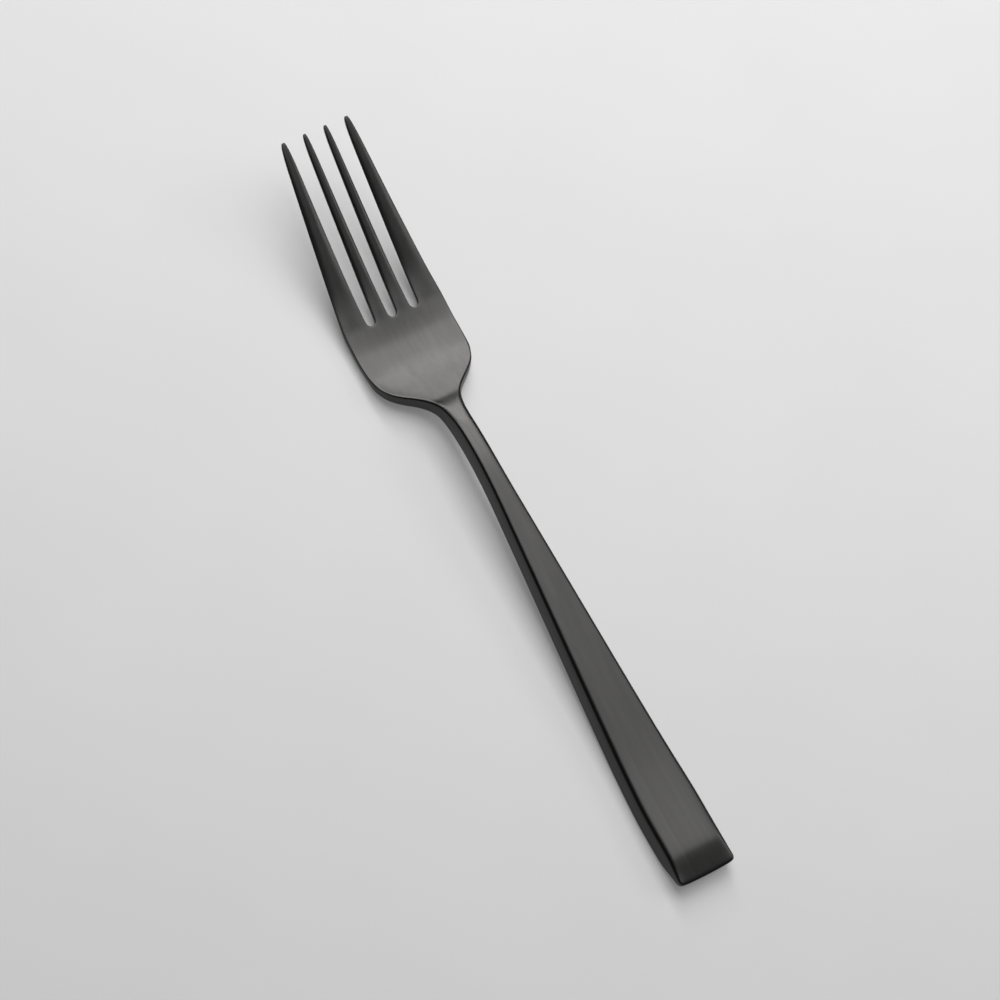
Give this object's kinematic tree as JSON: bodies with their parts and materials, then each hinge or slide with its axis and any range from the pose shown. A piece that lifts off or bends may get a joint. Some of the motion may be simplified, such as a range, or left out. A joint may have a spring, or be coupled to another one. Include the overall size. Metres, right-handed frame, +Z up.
{
  "type": "salad fork",
  "caption": "Slim one-piece fork with four tapered upswept tines, a shallow bowl, a waisted neck and a flat bar handle with a bevelled end, in black satin steel.",
  "frame": {"origin": "middle of the fork's box, at the surface that the fork lies on", "axes": "+Y along the fork from the handle's end to the tips, +Z up out of the bowl, +X to the right seen from above"},
  "size_m": [0.025, 0.1799, 0.0173],
  "materials": {
    "black_steel": "black coated stainless steel with a fine lengthwise satin brushing"
  },
  "bodies": {
    "root": {"fork": "black_steel"}
  },
  "joints": []
}
